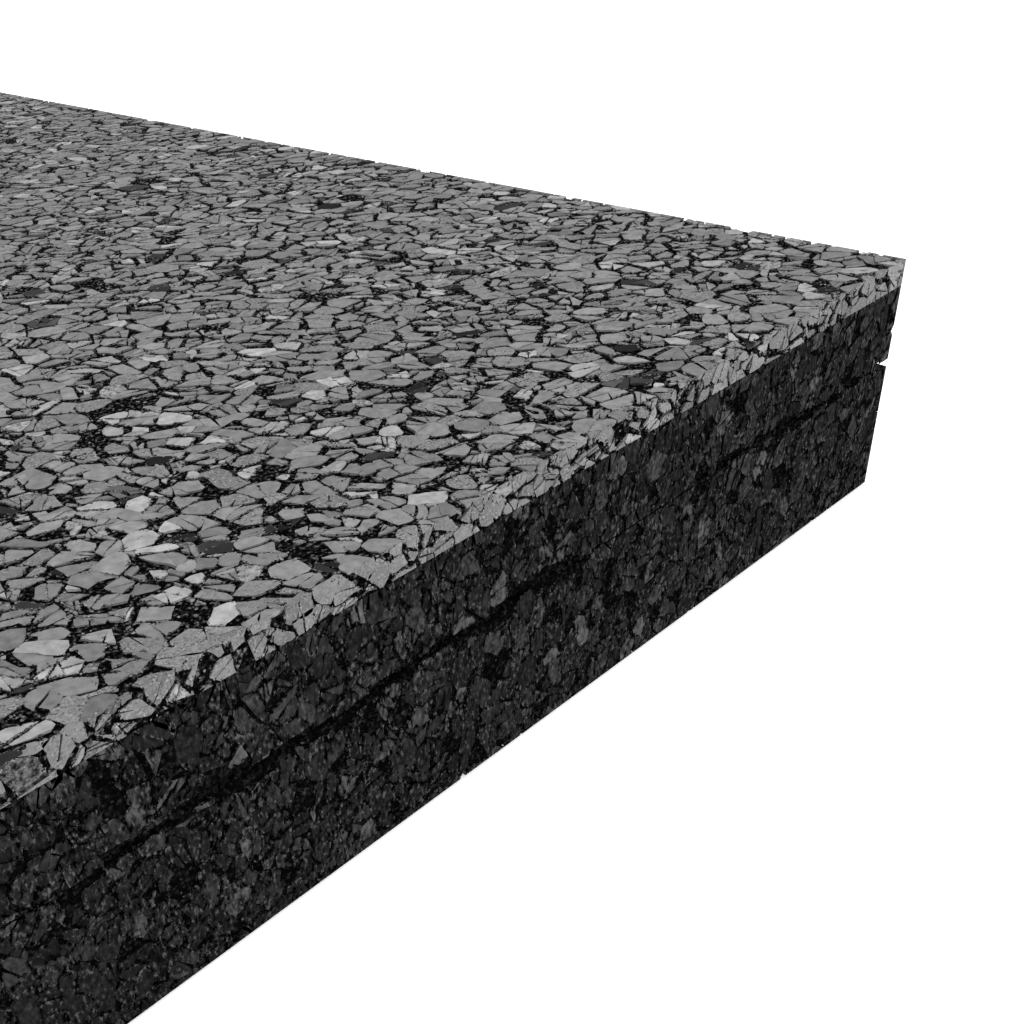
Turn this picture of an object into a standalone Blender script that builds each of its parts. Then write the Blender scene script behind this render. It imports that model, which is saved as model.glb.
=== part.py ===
"""Square-edged slab of bonded rubber granulate with a granite-look wear course.

The slab is pressed as three courses, one on the other: a thin wear course of
angular chips, an upper base course and a lower base course of black rubber
granulate.  The two base courses meet in a shallow V groove that runs round
all four sides.

Frame: metres, +Z up, origin at the middle of the underside.
"""
import bpy
import bmesh
from mathutils import Matrix

# Driving dimensions
SLAB_SIDE = 0.500            # length and width of the square slab
SLAB_THICKNESS = 0.050       # underside to top face
WEAR_THICKNESS = 0.0053      # the granite-look course on top
BOND_GAP = 0.0003            # bond line between two courses

# The groove round the sides, a V whose lower flank is the flatter one
GROOVE_TIP_HEIGHT = 0.0280   # its deepest line, above the underside
GROOVE_DEPTH = 0.0013        # how far it runs in from the side faces
GROOVE_UPPER_FLANK = 0.0013  # height taken from the upper base course
GROOVE_LOWER_FLANK = 0.0005  # height taken from the lower base course

# Heights of the courses' faces above the underside
WEAR_BOTTOM = SLAB_THICKNESS - WEAR_THICKNESS
UPPER_TOP = WEAR_BOTTOM - BOND_GAP
UPPER_BOTTOM = GROOVE_TIP_HEIGHT + BOND_GAP / 2
LOWER_TOP = GROOVE_TIP_HEIGHT - BOND_GAP / 2


def clear_scene():
    """Remove the objects that a new file holds."""
    for thing in list(bpy.data.objects):
        bpy.data.objects.remove(thing)


def make_rubber(name, grey, roughness):
    """A matt rubber finish of one neutral grey."""
    material = bpy.data.materials.new(name)
    material.use_nodes = True
    shader = material.node_tree.nodes["Principled BSDF"]
    shader.inputs["Base Color"].default_value = (grey, grey, grey, 1.0)
    shader.inputs["Roughness"].default_value = roughness
    shader.inputs["Metallic"].default_value = 0.0
    material.diffuse_color = (grey, grey, grey, 1.0)
    return material


def make_course(name, bottom, top, material, slab):
    """A sheet of the slab's full length and width between two heights."""
    bpy.ops.mesh.primitive_cube_add(size=1.0)
    course = bpy.context.object
    course.name = course.data.name = name
    sides = (SLAB_SIDE, SLAB_SIDE, top - bottom, 1.0)
    course.data.transform(Matrix.Diagonal(sides))
    course.location.z = (bottom + top) / 2
    course.data.materials.append(material)
    for collection in list(course.users_collection):
        collection.objects.unlink(course)
    slab.objects.link(course)
    return course


def add_groove_flank(course, facing, flank):
    """Taper the course's top (facing +1) or underside (-1) to the groove's tip."""
    mesh = bmesh.new()
    mesh.from_mesh(course.data)
    face = max(mesh.faces, key=lambda side: side.normal.z * facing)
    bmesh.ops.inset_region(mesh, faces=[face], thickness=GROOVE_DEPTH, depth=flank)
    mesh.to_mesh(course.data)
    mesh.free()


def make_wear_course(slab):
    chips = make_rubber("granite_look_chips", 0.21, 0.75)
    make_course("wear_course", WEAR_BOTTOM, SLAB_THICKNESS, chips, slab)


def make_upper_base_course(slab):
    granulate = make_rubber("upper_black_granulate", 0.012, 0.7)
    lip = UPPER_BOTTOM + GROOVE_UPPER_FLANK
    course = make_course("upper_base_course", lip, UPPER_TOP, granulate, slab)
    add_groove_flank(course, -1, GROOVE_UPPER_FLANK)


def make_lower_base_course(slab):
    granulate = make_rubber("lower_black_granulate", 0.012, 0.7)
    lip = LOWER_TOP - GROOVE_LOWER_FLANK
    course = make_course("lower_base_course", 0.0, lip, granulate, slab)
    add_groove_flank(course, +1, GROOVE_LOWER_FLANK)


def build_slab():
    clear_scene()
    slab = bpy.data.collections.new("granulate_slab")
    bpy.context.scene.collection.children.link(slab)
    make_wear_course(slab)
    make_upper_base_course(slab)
    make_lower_base_course(slab)


build_slab()
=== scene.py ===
import math
import random

import bpy
import numpy as np
from mathutils import Matrix, Vector, kdtree, noise


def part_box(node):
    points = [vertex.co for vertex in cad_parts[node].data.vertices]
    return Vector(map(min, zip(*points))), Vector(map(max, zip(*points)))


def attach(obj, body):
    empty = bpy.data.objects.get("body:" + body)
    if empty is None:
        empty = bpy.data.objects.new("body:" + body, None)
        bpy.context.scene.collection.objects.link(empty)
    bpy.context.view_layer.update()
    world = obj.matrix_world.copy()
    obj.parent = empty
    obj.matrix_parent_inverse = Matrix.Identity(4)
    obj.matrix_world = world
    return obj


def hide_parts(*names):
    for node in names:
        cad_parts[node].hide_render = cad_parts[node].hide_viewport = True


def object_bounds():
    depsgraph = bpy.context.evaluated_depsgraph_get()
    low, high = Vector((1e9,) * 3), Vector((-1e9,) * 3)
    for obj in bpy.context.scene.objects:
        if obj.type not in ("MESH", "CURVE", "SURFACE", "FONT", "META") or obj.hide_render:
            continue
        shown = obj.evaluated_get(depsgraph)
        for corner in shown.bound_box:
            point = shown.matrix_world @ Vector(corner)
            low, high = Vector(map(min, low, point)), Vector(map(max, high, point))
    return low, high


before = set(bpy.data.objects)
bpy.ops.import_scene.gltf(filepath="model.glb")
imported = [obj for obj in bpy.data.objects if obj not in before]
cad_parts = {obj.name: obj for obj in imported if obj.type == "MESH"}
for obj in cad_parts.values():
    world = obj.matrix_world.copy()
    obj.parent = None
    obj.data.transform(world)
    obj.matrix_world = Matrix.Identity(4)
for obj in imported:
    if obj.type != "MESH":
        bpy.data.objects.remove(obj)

cad_low, cad_high = [list(map(float, corner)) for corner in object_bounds()]

# ---------------------------------------------------------------------------
# Camera: in front of the middle of the slab's front side and a little above it,
# turned to the right-hand front corner, with the back and the left out of view.
# ---------------------------------------------------------------------------
MM = 0.001
HALF_SIDE = cad_high[0]
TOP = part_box("wear_course")[1][2]

camera_data = bpy.data.cameras.new("corner_camera")
camera = bpy.data.objects.new("corner_camera", camera_data)
bpy.context.scene.collection.objects.link(camera)
near_corner = Vector((HALF_SIDE, -HALF_SIDE, TOP))
camera.location = near_corner + Vector((-241.6, -107.3, 82.9)) * MM
heading = math.radians(48.19)      # of the view, counted from +X towards +Y
look_down = math.radians(38.18)
lean = math.radians(-4.99)
turn = Matrix.Rotation(heading - math.pi / 2, 4, "Z")
tip = Matrix.Rotation(math.pi / 2 - look_down, 4, "X")
camera.rotation_euler = (turn @ tip @ Matrix.Rotation(lean, 4, "Z")).to_euler()
camera_data.sensor_width = 36.0
camera_data.lens = 41.69
camera_data.shift_x = 0.10
camera_data.shift_y = 0.20
camera_data.clip_start = 0.01
bpy.context.scene.camera = camera


# ---------------------------------------------------------------------------
# Studio: a plain white sweep under soft light from all round.  A broad soft
# box at the front left lights the cut side, and one overhead lights the top.
# ---------------------------------------------------------------------------
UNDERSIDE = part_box("lower_base_course")[0][2]


def srgb(hex_colour):
    """An sRGB hex colour as a linear RGBA."""
    channels = [int(hex_colour[i:i + 2], 16) / 255 for i in (1, 3, 5)]
    linear = [c / 12.92 if c <= 0.04045 else ((c + 0.055) / 1.055) ** 2.4 for c in channels]
    return (*linear, 1.0)


bpy.context.scene.view_settings.view_transform = "Standard"
world = bpy.data.worlds.new("soft_studio")
bpy.context.scene.world = world
world.use_nodes = True
backdrop = world.node_tree.nodes["Background"]
backdrop.inputs["Color"].default_value = srgb("#ffffff")
backdrop.inputs["Strength"].default_value = 1.0

# matt white paint, lit up a little so that it shows no edge against the backdrop
floor_paint = bpy.data.materials.new("matt_white_sweep")
floor_paint.use_nodes = True
floor_shader = floor_paint.node_tree.nodes["Principled BSDF"]
floor_shader.inputs["Base Color"].default_value = srgb("#f7f7f7")
floor_shader.inputs["Roughness"].default_value = 0.9
floor_shader.inputs["Specular IOR Level"].default_value = 0.2
floor_shader.inputs["Emission Color"].default_value = srgb("#ffffff")
floor_shader.inputs["Emission Strength"].default_value = 0.3
bpy.ops.mesh.primitive_plane_add(size=12.0, location=(0, 0, UNDERSIDE - 0.5 * MM))
floor = bpy.context.object
floor.name = "studio_floor"
floor.data.materials.append(floor_paint)


def soft_box(name, place, size, watts):
    """A square area light, turned to face the slab."""
    lamp = bpy.data.lights.new(name, "AREA")
    lamp.shape = "SQUARE"
    lamp.size = size
    lamp.energy = watts
    light = bpy.data.objects.new(name, lamp)
    light.location = place
    light.rotation_euler = (-Vector(place)).to_track_quat("-Z", "Y").to_euler()
    bpy.context.scene.collection.objects.link(light)


soft_box("front_soft_box", (-0.6, -2.0, 1.0), 1.4, 30)
soft_box("overhead_soft_box", (0.6, 0.9, 2.2), 1.6, 22)


# ---------------------------------------------------------------------------
# Wear course, top face: flat, angular chips of grey rubber, raked out, pressed
# and bonded in black binder.  Each chip is a cell between random seeds, cut by
# the face, so a chip at an arris shows on both of the faces it touches.
# ---------------------------------------------------------------------------
WEAR_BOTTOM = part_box("wear_course")[0][2]
CHIP = 3.9 * MM                  # a chip's usual width
# how far a chip's side is drawn in, each as likely as the next; below zero it rides over its neighbour
CHIP_GAPS = [(-0.3 * MM, 0.0), (-0.3 * MM, 0.0), (-0.1 * MM, 0.1 * MM), (0.0, 0.3 * MM),
             (0.25 * MM, 0.7 * MM), (0.5 * MM, 1.2 * MM)]
CHIP_LONGER = 1.3                # how much longer than wide the chips lie
CHIP_DEPTH = 0.7 * MM            # how deep a chip's walls go into the binder
FOOT = 0.8                       # a chip's foot against its face
SKEW = 0.1                       # how far a chip's side turns from true, in radians
SLIVER = 0.12                    # a cell narrower than this share of a chip is left out
SCRAP = 0.13                     # and so is a broken bit narrower than this
CORNER_KEPT = 0.65               # share of a chip's corners that aren't knocked off
BIT_KEPT = 0.8                   # share of a shattered chip's bits that stay in place
CELL_REACH = 1.8                 # no cell goes further than this many chips from its seed
NEIGHBOURS = 40                  # the nearest seeds, this one among them, that can bound a cell
PATCHES = 4                      # the top is laid in patches, four by four

draw = random.Random(41)         # every run lays the same chips


class Plane:
    """A flat face of the slab: its origin, two directions and outward normal."""

    def __init__(self, origin, along, across):
        self.origin = Vector(origin)
        self.along = Vector(along)
        self.across = Vector(across)
        self.normal = self.along.cross(self.across)

    def flatten(self, point):
        """A point's place along, across and above the face."""
        away = point - self.origin
        return away.dot(self.along), away.dot(self.across), away.dot(self.normal)

    def place(self, u, v, height):
        return self.origin + self.along * u + self.across * v + self.normal * height


def scatter(size, reach, inner, low, high, seed):
    """Random seeds in a square ring of space, one to each cube of the chip size."""
    spread = np.random.default_rng(seed)
    count = int((2 * reach) ** 2 * (high - low) / size ** 3)
    seeds = spread.uniform((-reach, -reach, low), (reach, reach, high), (count, 3))
    return [Vector(s) for s in seeds[np.abs(seeds[:, :2]).max(axis=1) > inner]]


def clip(outline, nx, ny, limit):
    """The part of a convex outline on the near side of the line n.p = limit."""
    side = [x * nx + y * ny - limit for x, y in outline]
    if max(side) <= 0:
        return outline
    kept = []
    for k, here in enumerate(outline):
        before, d_before, d_here = outline[k - 1], side[k - 1], side[k]
        if (d_before <= 0) != (d_here <= 0):
            t = d_before / (d_before - d_here)
            kept.append((before[0] + t * (here[0] - before[0]), before[1] + t * (here[1] - before[1])))
        if d_here <= 0:
            kept.append(here)
    return kept


def cut_cells(plane, seeds, size, window, gaps, grain_way=(0, 0, 1), longer=1.0):
    """The outlines that the seeds' cells leave on a plane.  Each side is drawn in by a gap
    of its own: below zero the chip rides over or under its neighbour.  The cells are
    stretched along grain_way, so they come out that much longer than wide."""
    way = np.array(grain_way, dtype=float)
    spots = np.array(seeds)
    metric = np.eye(3) - (1 - 1 / longer ** 2) * np.outer(way, way)
    weighed = spots @ metric
    half_square = ((weighed * spots).sum(axis=1) / 2 - weighed @ np.array(plane.origin)).tolist()
    pull_u = (weighed @ np.array(plane.along)).tolist()
    pull_v = (weighed @ np.array(plane.across)).tolist()
    squeezed = (spots - (1 - 1 / longer) * np.outer(spots @ way, way)).tolist()
    tree = kdtree.KDTree(len(seeds))
    for k, spot in enumerate(squeezed):
        tree.insert(spot, k)
    tree.balance()
    reach = CELL_REACH * size * longer
    u_low, u_high, v_low, v_high = window
    cells = []
    for k, seed in enumerate(seeds):
        u, v, w = plane.flatten(seed)
        if abs(w) > reach or not (u_low - reach < u < u_high + reach and v_low - reach < v < v_high + reach):
            continue
        left, right = max(u_low, u - reach), min(u_high, u + reach)
        bottom, top = max(v_low, v - reach), min(v_high, v + reach)
        outline = [(left, bottom), (right, bottom), (right, top), (left, top)]
        for _, other, distance in tree.find_n(squeezed[k], NEIGHBOURS)[1:]:
            farthest = max((x - u) ** 2 + (y - v) ** 2 for x, y in outline) + w * w
            if distance * distance > 4 * farthest:
                break
            nx, ny = pull_u[other] - pull_u[k], pull_v[other] - pull_v[k]
            length = math.hypot(nx, ny)
            nx, ny = nx / length, ny / length
            step = (half_square[other] - half_square[k]) / length - u * nx - v * ny
            pu, pv = u + step * nx, v + step * ny
            angle = draw.gauss(0, SKEW)
            ca, sa = math.cos(angle), math.sin(angle)
            nx, ny = nx * ca - ny * sa, nx * sa + ny * ca
            outline = clip(outline, nx, ny, pu * nx + pv * ny - draw.uniform(*draw.choice(gaps)))
            if len(outline) < 3:
                break
        if len(outline) >= 3:
            cells.append((k, outline))
    return cells


def area_and_middle(outline):
    """An outline's area and its centre of area."""
    total = mu = mv = 0.0
    for k, (x, y) in enumerate(outline):
        px, py = outline[k - 1]
        cross = px * y - x * py
        total += cross
        mu += (px + x) * cross
        mv += (py + y) * cross
    if abs(total) < 1e-12:
        return 0.0, outline[0]
    return total / 2, (mu / (3 * total), mv / (3 * total))


def touches(outline, window):
    """True if an outline reaches the window's border."""
    u_low, u_high, v_low, v_high = window
    return any(min(u - u_low, u_high - u, v - v_low, v_high - v) < 1e-6 for u, v in outline)


def roughen(outline, window, step, wander):
    """Knock corners off and break long edges up, but not along the window's border."""
    u_low, u_high, v_low, v_high = window

    def border_marks(x, y):
        return (abs(x - u_low) < 1e-6, abs(x - u_high) < 1e-6, abs(y - v_low) < 1e-6, abs(y - v_high) < 1e-6)

    knocked = []
    for k, (x, y) in enumerate(outline):
        before, after = outline[k - 1], outline[(k + 1) % len(outline)]
        if any(border_marks(x, y)) or draw.random() < CORNER_KEPT:
            knocked.append((x, y))
            continue
        for nx, ny in (before, after):
            share = min(0.3, draw.uniform(0.125, 0.5) * step / max(math.hypot(nx - x, ny - y), step))
            knocked.append((x + share * (nx - x), y + share * (ny - y)))
    rough = []
    for k, (x, y) in enumerate(knocked):
        px, py = knocked[k - 1]
        length = math.hypot(x - px, y - py)
        on_border = any(a and b for a, b in zip(border_marks(x, y), border_marks(px, py)))
        pieces = 1 if on_border else min(4, int(length / step) + 1)
        for part in range(1, pieces):
            t = (part + draw.uniform(-0.25, 0.25)) / pieces
            off = draw.gauss(0, wander)
            ru, rv = px + t * (x - px) - off * (y - py) / length, py + t * (y - py) + off * (x - px) / length
            rough.append((min(max(ru, u_low), u_high), min(max(rv, v_low), v_high)))
        rough.append((x, y))
    return rough


def split(outline, gap):
    """Crack an outline in two by a line at random through its middle."""
    _, (mu, mv) = area_and_middle(outline)
    angle, wedge = draw.uniform(0, math.pi), draw.gauss(0, 0.1)
    nx, ny = math.cos(angle), math.sin(angle)
    mx, my = math.cos(angle + wedge), math.sin(angle + wedge)
    near = clip(outline, nx, ny, nx * mu + ny * mv - gap)
    far = clip(outline, -mx, -my, -(mx * mu + my * mv) - gap)
    return [part for part in (near, far) if len(part) > 2]


class Heap:
    """Collects the chips of one stretch of a face, and turns them into one mesh.  Its flat
    map lays the stretch out in rows, with the chips' hidden walls folded away."""

    def __init__(self, window, margin):
        self.u_low, u_high, self.v_low, v_high = window
        self.margin = margin
        self.row_height = v_high - self.v_low + 2 * margin
        self.rows = max(1, int(math.sqrt((u_high - self.u_low) / self.row_height)))
        self.row_length = (u_high - self.u_low) / self.rows
        self.lead = 2 * CHIP         # room for a chip that starts in one row and ends in the next
        self.side = max(self.row_length + 2 * self.lead, self.rows * self.row_height)
        self.points, self.faces, self.tone, self.rim, self.crumble = [], [], [], [], []
        self.spots, self.shown = [], []

    def lay(self, u, v, middle):
        """Where a point of a chip falls on the flat map."""
        row = min(self.rows - 1, max(0, int((middle - self.u_low) / self.row_length)))
        across = u - self.u_low - row * self.row_length + self.lead
        up = v - self.v_low + self.margin + row * self.row_height
        self.spots.append((across / self.side, up / self.side))

    def add_chip(self, plane, outline, height, tilt, tone, crumble):
        """A flat chip with walls that taper to a foot in the binder."""
        count, first = len(outline), len(self.points)
        mu, mv = sum(u for u, _ in outline) / count, sum(v for _, v in outline) / count
        lean_u, lean_v = draw.gauss(0, tilt), draw.gauss(0, tilt)
        radius = sum(math.hypot(u - mu, v - mv) for u, v in outline) / count
        self.points.append(plane.place(mu, mv, height))
        self.lay(mu, mv, mu)
        for u, v in outline:
            self.points.append(plane.place(u, v, min(0.0, height + lean_u * (u - mu) + lean_v * (v - mv))))
            self.lay(u, v, mu)
        for u, v in outline:
            self.points.append(plane.place(mu + (u - mu) * FOOT, mv + (v - mv) * FOOT, height - CHIP_DEPTH))
            self.spots.append((0.0, 0.0))
        top, foot = first + 1, first + 1 + count
        for k in range(count):
            n = (k + 1) % count
            self.faces.append((first, top + k, top + n))
            self.faces.append((top + k, foot + k, foot + n, top + n))
        self.faces.append(tuple(foot + k for k in reversed(range(count))))
        self.shown += [True, False] * count + [False]
        self.tone += [tone] * (1 + 2 * count)
        self.crumble += [crumble] * (1 + 2 * count)
        self.rim += [FOOT * radius] + [0.0] * (2 * count)

    def add_crumb(self, plane, u, v, radius, height, tone):
        """A small shard with a peak, low in a gap between chips."""
        start, sides, first = draw.uniform(0, math.tau), draw.choice((3, 4, 4, 5)), len(self.points)
        self.points.append(plane.place(u, v, height))
        self.lay(u, v, u)
        for k in range(sides):
            angle = start + math.tau * (k + draw.uniform(-0.25, 0.25)) / sides
            reach = radius * draw.uniform(0.6, 1.4)
            cu, cv = u + reach * math.cos(angle), v + reach * math.sin(angle)
            self.points.append(plane.place(cu, cv, height - radius * draw.uniform(0.3, 0.8)))
            self.lay(cu, cv, u)
            self.faces.append((first, first + 1 + k, first + 1 + (k + 1) % sides))
        self.faces.append(tuple(first + 1 + k for k in reversed(range(sides))))
        self.shown += [True] * sides + [False]
        self.tone += [tone] * (1 + sides)
        self.crumble += [0.3] * (1 + sides)
        self.rim += [CHIP] * (1 + sides)

    def make(self, name, material, slot):
        """Turn what was collected into one piece of the slab."""
        mesh = bpy.data.meshes.new(name)
        mesh.from_pydata(self.points, [], self.faces)
        for label, values in (("tone", self.tone), ("rim", self.rim), ("crumble", self.crumble)):
            mesh.attributes.new(label, "FLOAT", "POINT").data.foreach_set("value", values)
        corner_points = np.empty(len(mesh.loops), dtype=np.int32)
        mesh.loops.foreach_get("vertex_index", corner_points)
        laid = np.array(self.spots)[corner_points]
        laid[~np.repeat(self.shown, [len(face) for face in self.faces])] = 0.0
        mesh.uv_layers.new(name="OFBake").data.foreach_set("uv", laid.ravel())
        mesh.materials.append(material)
        piece = bpy.data.objects.new(name, mesh)
        bpy.context.scene.collection.objects.link(piece)
        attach(piece, "root")


def fill_face(plane, cells, window, pick_heap, looks, size, sunk, tilt, step, shattered):
    """Turn a face's outlines into chips, some cracked or shattered, with crumbs in the gaps and holes."""
    u_low, u_high, v_low, v_high = window
    for index, outline in cells:
        tone, crumble, present = looks(index)
        area, (mu, mv) = area_and_middle(outline)
        if area < (SLIVER * size) ** 2:
            continue
        present = present or touches(outline, window)
        heap = pick_heap(mu, mv)
        radius = 0.5 * math.sqrt(area)
        if present:
            crumbs = []
            for _ in range(draw.choice((3, 4, 6, 8))):
                k, t = draw.randrange(len(outline)), draw.random()
                (x, y), (px, py) = outline[k], outline[k - 1]
                crumbs.append((x + t * (px - x), y + t * (py - y)))
        else:
            crumbs = [(mu + draw.uniform(-radius, radius), mv + draw.uniform(-radius, radius))
                      for _ in range(8)]
        for cu, cv in crumbs:
            coarse = draw.uniform(0.025, 0.11) * size
            cu = min(max(cu, u_low + coarse), u_high - coarse)
            cv = min(max(cv, v_low + coarse), v_high - coarse)
            heap.add_crumb(plane, cu, cv, coarse, -draw.uniform(0.02, 0.35) * MM, draw.uniform(0.05, 0.75))
        if not present:
            continue
        parts, shade, broken_up = [outline], 0.03, draw.random() < shattered
        if broken_up:
            shade = 0.09
            for _ in range(2):
                parts = [bit for part in parts for bit in split(part, draw.uniform(0.0, 0.04) * size)]
            parts = [part for part in parts if draw.random() < BIT_KEPT]
        elif area > (0.5 * size) ** 2 and draw.random() < 0.5:
            parts = split(outline, draw.uniform(-0.03, 0.04) * size)
        for part in parts:
            if area_and_middle(part)[0] < (SCRAP * size) ** 2:
                continue
            flush = touches(part, window)
            part = part if broken_up else roughen(part, window, step, 0.03 * size)
            heap.add_chip(plane, part, 0.0 if flush else -draw.uniform(0, sunk),
                          0.0 if flush else tilt, tone + draw.gauss(0, shade), crumble)


def add_node(tree, kind, inputs=(), output=0, stops=(), **settings):
    """Add a shader node, set or link its inputs, place a colour ramp's stops, and give one output."""
    node = tree.nodes.new(kind)
    for name, value in settings.items():
        setattr(node, name, value)
    for socket, source in dict(inputs).items():
        if isinstance(source, bpy.types.NodeSocket):
            tree.links.new(source, node.inputs[socket])
        else:
            node.inputs[socket].default_value = source
    if stops:
        elements = node.color_ramp.elements
        for element, (position, colour) in zip(elements, (stops[0], stops[-1])):
            element.position, element.color = position, srgb(colour)
        for position, colour in stops[1:-1]:
            elements.new(position).color = srgb(colour)
    return node.outputs[output]


def make_rubber(name, dark, middle, light, pit_shade, speck, binder, sheen, rim_crumb, crumb_size, mottle_size,
                mottling, streak):
    """Bonded rubber, cut flush.  Dark, middle and light are the chips' own tones, from which
    each one takes its place.  The crumb in it runs from painted shade in its pits, where
    the bump is lowest, to the speck colour on its grains, and the binder shows where its rim
    has crumbled.  The patterns are streak times as tall as wide."""
    material = bpy.data.materials.new(name)
    material.use_nodes = True
    tree = material.node_tree
    shader = tree.nodes["Principled BSDF"]
    place = add_node(tree, "ShaderNodeTexCoord", output="Object")
    place = add_node(tree, "ShaderNodeVectorMath", {0: place, 1: (1.0, 1.0, 1 / streak)},
                     operation="MULTIPLY")
    tone, rim, crumble = [add_node(tree, "ShaderNodeAttribute", output="Fac", attribute_name=label)
                          for label in ("tone", "rim", "crumble")]
    patterns = ((mottle_size, 3), (crumb_size, 2), (0.9 * MM, 3), (5 * MM, 2))
    mottle, fine, clump, patch = [
        add_node(tree, "ShaderNodeTexNoise",
                 {"Vector": place, "Scale": 1 / size, "Detail": detail, "Roughness": 0.6}, output="Fac")
        for size, detail in patterns]
    # a chip's own tone, mottled
    own_tone = add_node(tree, "ShaderNodeValToRGB", {"Fac": tone},
                        stops=((0.0, dark), (0.5, middle), (1.0, light)))
    cloud = add_node(tree, "ShaderNodeMath", {0: mottle, 1: mottling, 2: 1 - mottling / 2},
                     operation="MULTIPLY_ADD")
    plain = add_node(tree, "ShaderNodeHueSaturation", {"Color": own_tone, "Value": cloud})
    # crumb: soft through a chip, but no more than holes and grains along its rim
    # its darkest stop is painted shade in the crumb's pits, where the bump is lowest
    soft = add_node(tree, "ShaderNodeValToRGB", {"Fac": fine},
                    stops=((0.38, pit_shade), (0.48, middle), (0.54, middle), (0.66, speck)))
    hard = add_node(tree, "ShaderNodeValToRGB", {"Fac": fine},
                    stops=((0.46, binder), (0.51, middle), (0.57, middle), (0.64, speck)))
    clumped = add_node(tree, "ShaderNodeMath", {0: clump, 1: 5.0, 2: -1.9},
                       operation="MULTIPLY_ADD", use_clamp=True)
    whole = add_node(tree, "ShaderNodeMath", {0: crumble, 1: clumped}, operation="MULTIPLY", use_clamp=True)
    # the rim turns to crumb up to about 1 mm from a chip's edge, more in some places
    near = add_node(tree, "ShaderNodeMath", {0: clump, 1: 2.4 * MM, 2: -1.25 * MM},
                    operation="MULTIPLY_ADD")
    wide = add_node(tree, "ShaderNodeMath", {0: patch, 1: 2.0 * MM, 2: rim_crumb - 1.1 * MM},
                    operation="MULTIPLY_ADD")
    width = add_node(tree, "ShaderNodeMath", {0: near, 1: wide}, operation="ADD")
    within = add_node(tree, "ShaderNodeMath", {0: width, 1: rim}, operation="SUBTRACT")
    ragged = add_node(tree, "ShaderNodeMath", {0: within, 1: 1 / (0.15 * MM)},
                      operation="MULTIPLY", use_clamp=True)
    body = add_node(tree, "ShaderNodeMix", {0: whole, 6: plain, 7: soft}, output=2, data_type="RGBA")
    colour = add_node(tree, "ShaderNodeMix", {0: ragged, 6: body, 7: hard}, output=2, data_type="RGBA")
    roughness = add_node(tree, "ShaderNodeMath", {0: fine, 1: 0.2, 2: 0.68}, operation="MULTIPLY_ADD")
    # the crumb stands out more where the rubber is broken
    broken = add_node(tree, "ShaderNodeMath", {0: whole, 1: ragged}, operation="MAXIMUM")
    coarse = add_node(tree, "ShaderNodeMath", {0: fine, 1: 2.0}, operation="MULTIPLY")
    faint = add_node(tree, "ShaderNodeMath", {0: fine, 1: 0.4}, operation="MULTIPLY")
    height = add_node(tree, "ShaderNodeMath", {0: broken, 1: coarse, 2: faint}, operation="MULTIPLY_ADD")
    bump = add_node(tree, "ShaderNodeBump", {"Height": height, "Strength": 0.6, "Distance": 0.2 * MM})
    for socket, source in (("Base Color", colour), ("Roughness", roughness), ("Normal", bump)):
        tree.links.new(source, shader.inputs[socket])
    shader.inputs["Specular IOR Level"].default_value = sheen
    return material


# grey rubber, dull and cloudy, with crumb of about 0.4 mm where a chip has broken, its pits given painted
# shade
chip_rubber = make_rubber("grey_chip_rubber", dark="#0a0a0a", middle="#6e6e6e", light="#989898",
                          pit_shade="#404040", speck="#949494", binder="#040404", sheen=0.08,
                          rim_crumb=0.15 * MM, crumb_size=0.4 * MM, mottle_size=1.5 * MM,
                          mottling=1.2, streak=1.0)
wear_seeds = scatter(CHIP, HALF_SIDE + CHIP, 0.0, WEAR_BOTTOM - CHIP, TOP + CHIP, 7)


def near_corner_of(seeds, index, reach):
    """True if a seed is near one of the slab's four uprights."""
    return min(abs(seeds[index].x), abs(seeds[index].y)) > HALF_SIDE - reach


def chip_looks(index):
    """A chip's tone, how crumbly it is and if it is there at all."""
    own = random.Random(index * 7919 + 13)
    chance = own.random()
    tone = min(0.78, max(0.3, own.gauss(0.52, 0.07)))
    if chance < 0.03:
        tone = own.uniform(0.0, 0.08)
    elif chance < 0.14:
        tone = own.uniform(0.72, 1.0)
    crumble = own.choice((0, 0, 0, 0, 0.2, 0.5, 1.0, 1.0)) if own.random() < 0.7 and tone > 0.1 else 0.0
    at_corner = near_corner_of(wear_seeds, index, 2 * CHIP)
    if at_corner:
        tone = max(tone, 0.45)
    return tone, crumble, at_corner or own.random() > 0.025


top_face = Plane((0, 0, TOP), (1, 0, 0), (0, 1, 0))
patch_side = 2 * HALF_SIDE / PATCHES
patches = {}
for row in range(PATCHES):
    for column in range(PATCHES):
        left, low = -HALF_SIDE + column * patch_side, -HALF_SIDE + row * patch_side
        patches[row, column] = Heap((left, left + patch_side, low, low + patch_side), 2 * CHIP)


def patch_at(u, v):
    """The patch of the top that a spot lies in."""
    row, column = int((v + HALF_SIDE) / patch_side), int((u + HALF_SIDE) / patch_side)
    return patches[min(row, PATCHES - 1), min(column, PATCHES - 1)]


raked_way = Vector((1, -1, 0)).normalized()      # the chips were raked out along this diagonal
top_window = (-HALF_SIDE, HALF_SIDE, -HALF_SIDE, HALF_SIDE)
top_cells = cut_cells(top_face, wear_seeds, CHIP, top_window, CHIP_GAPS, raked_way, CHIP_LONGER)
fill_face(top_face, top_cells, top_window, patch_at, chip_looks, size=CHIP, sunk=0.3 * MM, tilt=0.05,
          step=0.45 * CHIP, shattered=0.14)
for (row, column), patch in patches.items():
    patch.make(f"wear_chips_{row + 1}_{column + 1}", chip_rubber, "wear_course")


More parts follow.
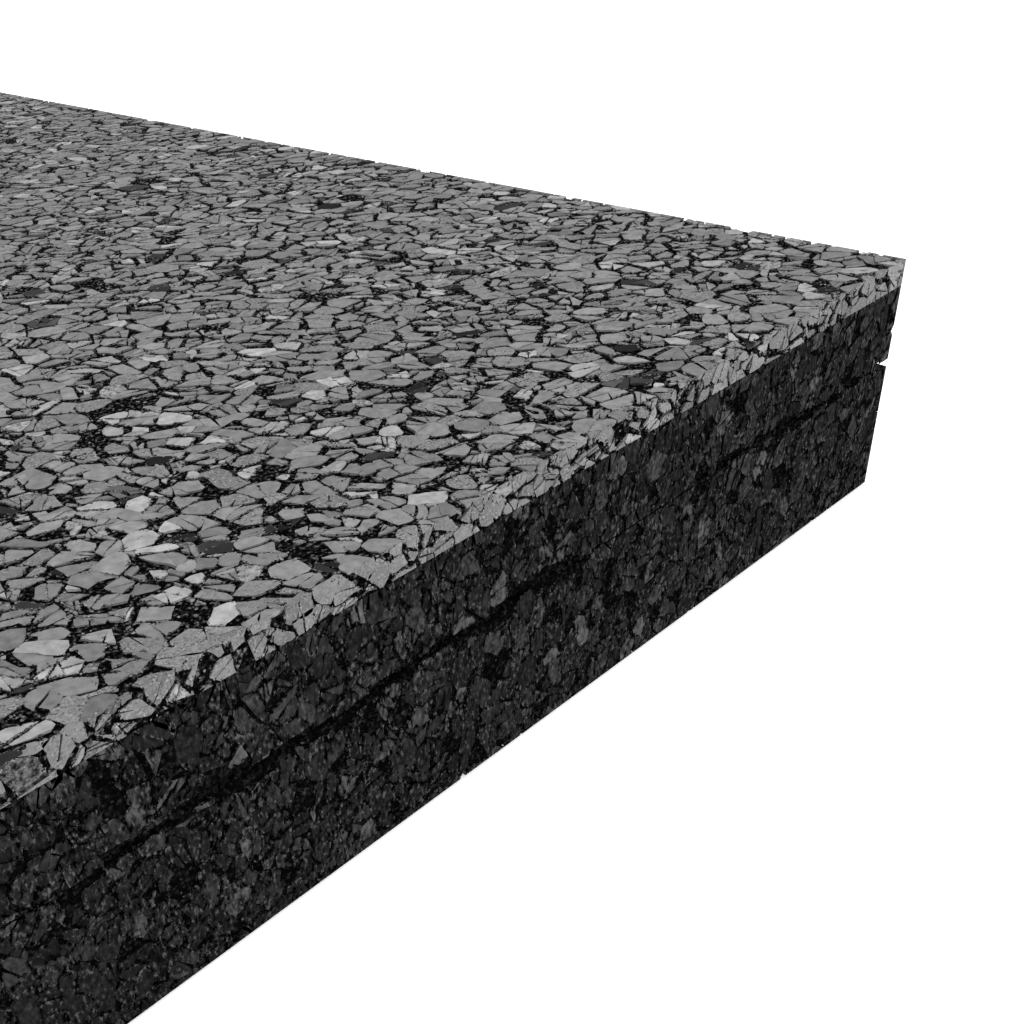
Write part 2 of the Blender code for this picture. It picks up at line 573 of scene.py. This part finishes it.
# ---------------------------------------------------------------------------
# Wear course, sides: the same chips, opened by the saw that cut the slab
# square.  The blade tears them, so they are darker there and more crumbly.
# ---------------------------------------------------------------------------
side_faces = {}
for quarter, name in enumerate(("front", "right", "back", "left")):
    along = Matrix.Rotation(quarter * math.pi / 2, 3, "Z") @ Vector((1, 0, 0))
    outward = along.cross(Vector((0, 0, 1)))
    side_faces[name] = Plane(outward * HALF_SIDE, along, (0, 0, 1))


def torn_looks(index):
    """A chip's looks where the saw has torn it."""
    tone, crumble, present = chip_looks(index)
    return tone - 0.07, max(crumble, 0.6), present


for name, face in side_faces.items():
    window = (-HALF_SIDE, HALF_SIDE, WEAR_BOTTOM, TOP)
    heap = Heap(window, 0.5 * MM)
    cells = cut_cells(face, wear_seeds, CHIP, window, CHIP_GAPS, raked_way, CHIP_LONGER)
    fill_face(face, cells, window, lambda u, v: heap, torn_looks, size=CHIP, sunk=0.25 * MM, tilt=0.05,
              step=0.45 * CHIP, shattered=0.2)
    heap.make(f"wear_edge_{name}", chip_rubber, "wear_course")


# ---------------------------------------------------------------------------
# Wear course, binder: black polyurethane full of rubber dust, which fills the
# course behind the chips and shows in the gaps between them.  Its near-black is
# partly painted shade, darker than the light alone makes those narrow gaps.
# ---------------------------------------------------------------------------
BED = 0.4 * MM                   # how far the binder lies behind the chips' faces
RIM_CELLS = 200                  # a core's rim is broken up this often along each side
LUMP = 0.25 * MM                 # height of the binder's lumps
LUMP_WIDTH = 2.2 * MM


def make_binder(name, dust_shade, grit, roughness):
    """Dull black with rubber dust and grit in it, faintly lumpy, so a gap isn't a flat black line."""
    material = bpy.data.materials.new(name)
    material.use_nodes = True
    tree = material.node_tree
    shader = tree.nodes["Principled BSDF"]
    place = add_node(tree, "ShaderNodeTexCoord", output="Object")
    # lumps of about 0.7 mm, broken up into finer grit
    dust = add_node(tree, "ShaderNodeTexNoise",
                    {"Vector": place, "Scale": 1 / (0.7 * MM), "Detail": 5.0, "Roughness": 0.6}, output="Fac")
    shades = add_node(tree, "ShaderNodeValToRGB", {"Fac": dust},
                      stops=((0.46, "#040404"), (0.56, dust_shade), (0.67, grit)))
    bump = add_node(tree, "ShaderNodeBump", {"Height": dust, "Strength": 0.8, "Distance": 0.4 * MM})
    tree.links.new(shades, shader.inputs["Base Color"])
    tree.links.new(bump, shader.inputs["Normal"])
    shader.inputs["Roughness"].default_value = roughness
    shader.inputs["Specular IOR Level"].default_value = 0.0
    return material


def make_core(name, material, node, profile, open_top=False):
    """A course's inner block: two sheets joined round the rim by a profile of (set-in,
    height) steps, from the top sheet down.  Only an open top is seen, and so it is lumpy."""
    n = RIM_CELLS
    grid = np.linspace(-1, 1, n + 1)
    points, faces = [], []
    rim = [(i, 0) for i in range(n)] + [(n, j) for j in range(n)]
    rim += [(i, n) for i in range(n, 0, -1)] + [(0, j) for j in range(n, 0, -1)]

    def add_plain_sheet(set_in, height, upward):
        first = len(points)
        reach = HALF_SIDE - set_in
        points.extend((reach * grid[i], reach * grid[j], height) for i, j in rim)
        points.append((0.0, 0.0, height))
        for k in range(len(rim)):
            ends = (first + k, first + (k + 1) % len(rim))
            faces.append((*(ends if upward else ends[::-1]), first + len(rim)))
        return list(range(first, first + len(rim)))

    def add_lumpy_sheet(set_in, height):
        first = len(points)
        reach = HALF_SIDE - set_in
        for i in range(n + 1):
            for j in range(n + 1):
                x, y = reach * grid[i], reach * grid[j]
                inside = 0 < i < n and 0 < j < n
                rise = LUMP * noise.noise(Vector((x, y, height)) / LUMP_WIDTH) if inside else 0.0
                points.append((x, y, height + rise))
        sheet = np.arange((n + 1) ** 2).reshape(n + 1, n + 1)
        for i in range(n):
            for j in range(n):
                corners = (sheet[i, j], sheet[i + 1, j], sheet[i + 1, j + 1], sheet[i, j + 1])
                faces.append(tuple(first + int(corner) for corner in corners))
        return [first + int(sheet[i, j]) for i, j in rim]

    above = add_lumpy_sheet(*profile[0]) if open_top else add_plain_sheet(*profile[0], True)
    for set_in, height in profile[1:-1]:
        first = len(points)
        for i, j in rim:
            x, y = grid[i], grid[j]
            spot = Vector((x * HALF_SIDE, y * HALF_SIDE, height)) / LUMP_WIDTH
            reach = HALF_SIDE - set_in - LUMP * abs(noise.noise(spot))
            points.append((reach * x, reach * y, height + LUMP * noise.noise(spot + Vector((0, 0, 9)))))
        here = list(range(first, first + len(rim)))
        for k in range(len(rim)):
            m = (k + 1) % len(rim)
            faces.append((above[k], here[k], here[m], above[m]))
        above = here
    below = add_plain_sheet(*profile[-1], False)
    for k in range(len(rim)):
        m = (k + 1) % len(rim)
        faces.append((above[k], below[k], below[m], above[m]))
    mesh = bpy.data.meshes.new(name)
    mesh.from_pydata(points, [], faces)
    mesh.materials.append(material)
    core = bpy.data.objects.new(name, mesh)
    bpy.context.scene.collection.objects.link(core)
    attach(core, "root")
    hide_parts(node)


# the binder's own black, made near-black and without sheen also as painted shade in the gaps between chips
wear_binder_and_gap_shade = make_binder("black_chip_binder_and_gap_shade", dust_shade="#181818", grit="#606060", roughness=0.75)
make_core("wear_binder_and_gap_shade", wear_binder_and_gap_shade, "wear_course",
          [(BED, TOP - BED), (BED, TOP - 2.5 * MM), (BED, WEAR_BOTTOM)], open_top=True)


# ---------------------------------------------------------------------------
# Base courses, sides: black rubber granulate of 2 to 5 mm, pressed in two
# courses and opened by the same saw.  The groove between them is a V whose
# lips are frayed: broken wide open in places and nearly closed in others.
# ---------------------------------------------------------------------------
UPPER_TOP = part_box("upper_base_course")[1][2]
UPPER_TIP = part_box("upper_base_course")[0][2]
LOWER_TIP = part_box("lower_base_course")[1][2]
GROOVE_DEPTH = 1.3 * MM
UPPER_LIP = UPPER_TIP + 1.3 * MM
LOWER_LIP = LOWER_TIP - 0.5 * MM
GRANULE = 3.6 * MM
GRANULE_GAPS = [(-0.5 * MM, -0.1 * MM), (-0.3 * MM, 0.0), (-0.1 * MM, 0.1 * MM), (0.1 * MM, 0.5 * MM)]
GRANULE_TALLER = 1.25            # the granules stand on end a little
LIP_FRAY = 1.2 * MM              # how far a granule may hang over the groove

# sawn black rubber granulate: nearly black, crumbled and pitted all over, streaked upright by the blade, with
# painted shade in the pits
granule_rubber = make_rubber("black_granule_rubber", dark="#020202", middle="#1c1c1c", light="#484848",
                             pit_shade="#060606", speck="#4a4a4a", binder="#010101", sheen=0.004,
                             rim_crumb=0.45 * MM, crumb_size=0.55 * MM, mottle_size=1.1 * MM, mottling=3.4,
                             streak=1.8)
base_seeds = scatter(GRANULE, HALF_SIDE + GRANULE, HALF_SIDE - 2 * GRANULE, UNDERSIDE - GRANULE,
                     UPPER_TOP + GRANULE, 11)


def granule_looks(index):
    """A granule's tone, how crumbly it is and if it is there at all."""
    own = random.Random(index * 104729 + 5)
    tone = min(0.8, max(0.1, own.gauss(0.48, 0.13)))
    if own.random() < 0.06:
        tone = own.uniform(0.8, 1.0)
    at_corner = near_corner_of(base_seeds, index, 2 * GRANULE)
    return tone, own.choice((0.3, 0.7, 1.0, 1.0)), at_corner or own.random() > 0.06


def fray(u, seed):
    """How far a lip is broken back (above zero) or hangs over the groove (below zero)."""
    slow = noise.noise(Vector((u / (38 * MM), seed, 0.5)))
    patchy = noise.noise(Vector((u / (13 * MM), seed, 3.5)))
    quick = noise.noise(Vector((u / (4 * MM), seed, 7.5)))
    close = -0.05 * MM - 0.75 * MM * u / HALF_SIDE
    to_corner = min(1.0, (HALF_SIDE - abs(u)) / (5 * MM))
    return max(-LIP_FRAY, close + (1.8 * slow + 3.4 * patchy + 2.0 * quick) * MM) * to_corner


def fray_lip(cells, lip, facing, seed):
    """Cut each granule at the lip to a line of its own; facing is +1 where the course is above."""
    kept = []
    for index, outline in cells:
        _, (mu, mv) = area_and_middle(outline)
        limit = lip + facing * fray(mu, seed)
        outline = clip(outline, 0.0, -facing, -facing * limit)
        if len(outline) > 2:
            kept.append((index, outline))
    return kept


for course, low, high, lip, facing in (("upper", UPPER_LIP - LIP_FRAY, WEAR_BOTTOM, UPPER_LIP, 1),
                                       ("lower", UNDERSIDE, LOWER_LIP + LIP_FRAY, LOWER_LIP, -1)):
    for name, face in side_faces.items():
        window = (-HALF_SIDE, HALF_SIDE, low, high)
        heap = Heap(window, 0.5 * MM)
        cells = cut_cells(face, base_seeds, GRANULE, window, GRANULE_GAPS, (0, 0, 1), GRANULE_TALLER)
        cells = fray_lip(cells, lip, facing, len(name) * 3.7 + facing)
        fill_face(face, cells, window, lambda u, v: heap, granule_looks, size=GRANULE, sunk=0.3 * MM,
                  tilt=0.12, step=0.8 * GRANULE, shattered=0.1)
        if facing < 0:
            # loose granulate in the bottom of the groove, clear of the slab's corners; its darker tones are
            # painted shade in the groove
            for _ in range(int(2 * HALF_SIDE / (0.4 * MM))):
                u = draw.uniform(-HALF_SIDE + 6 * MM, HALF_SIDE - 6 * MM)
                v = draw.uniform(LOWER_LIP - 0.3 * MM, UPPER_LIP + 0.3 * MM)
                heap.add_crumb(face, u, v, draw.uniform(0.3, 0.9) * MM, -draw.uniform(0.7, 1.3) * MM,
                               draw.uniform(0.0, 0.25))
        heap.make(f"{course}_granules_{name}", granule_rubber, f"{course}_base_course")


# ---------------------------------------------------------------------------
# Base courses, binder: black polyurethane with rubber dust, which fills both
# courses behind the granules.  It draws back at the groove, down to the V's tip.
# ---------------------------------------------------------------------------
base_binder = make_binder("black_granulate_binder", dust_shade="#0c0c0c", grit="#222222", roughness=0.7)
make_core("upper_base_core", base_binder, "upper_base_course",
          [(BED, WEAR_BOTTOM - 0.1 * MM), (BED, UPPER_LIP + 8 * MM), (BED, UPPER_LIP + 0.4 * MM),
           (BED + 0.5 * MM, UPPER_LIP - 0.4 * MM), (GROOVE_DEPTH, UPPER_TIP + 0.2 * MM),
           (2 * GROOVE_DEPTH, UPPER_TIP)])
make_core("lower_base_core", base_binder, "lower_base_course",
          [(2 * GROOVE_DEPTH, LOWER_TIP), (GROOVE_DEPTH, LOWER_TIP - 0.2 * MM), (BED, LOWER_LIP - 0.3 * MM),
           (BED, LOWER_LIP / 2), (BED, UNDERSIDE + 1.5 * MM), (BED, UNDERSIDE + BED)])


# ---------------------------------------------------------------------------
# Underside: the same granulate as it left the press, flat and unsawn, so its
# granules are whole and look somewhat bigger.
# ---------------------------------------------------------------------------
PRESSED_GRANULE = 5.5 * MM
UNDER_PATCHES = 2                # it is laid in patches, two by two

under_face = Plane((0, 0, UNDERSIDE), (1, 0, 0), (0, -1, 0))
under_seeds = scatter(PRESSED_GRANULE, HALF_SIDE + PRESSED_GRANULE, 0.0, UNDERSIDE - PRESSED_GRANULE,
                      UNDERSIDE + PRESSED_GRANULE, 17)
under_cells = cut_cells(under_face, under_seeds, PRESSED_GRANULE, top_window, GRANULE_GAPS)
under_side = 2 * HALF_SIDE / UNDER_PATCHES
for row in range(UNDER_PATCHES):
    for column in range(UNDER_PATCHES):
        left, low = -HALF_SIDE + column * under_side, -HALF_SIDE + row * under_side
        heap = Heap((left, left + under_side, low, low + under_side), 2 * CHIP)
        for index, outline in under_cells:
            area, (mu, mv) = area_and_middle(outline)
            inside = left <= mu < left + under_side and low <= mv < low + under_side
            if inside and area > (0.2 * PRESSED_GRANULE) ** 2:
                # each takes the looks of one of the sawn granules
                tone, crumble, _ = granule_looks(index % len(base_seeds))
                flush = touches(outline, top_window)
                heap.add_chip(under_face, outline, 0.0 if flush else -draw.uniform(0, 0.3 * MM),
                              0.0 if flush else 0.05, tone, crumble)
        heap.make(f"under_granules_{row + 1}_{column + 1}", granule_rubber, "lower_base_course")
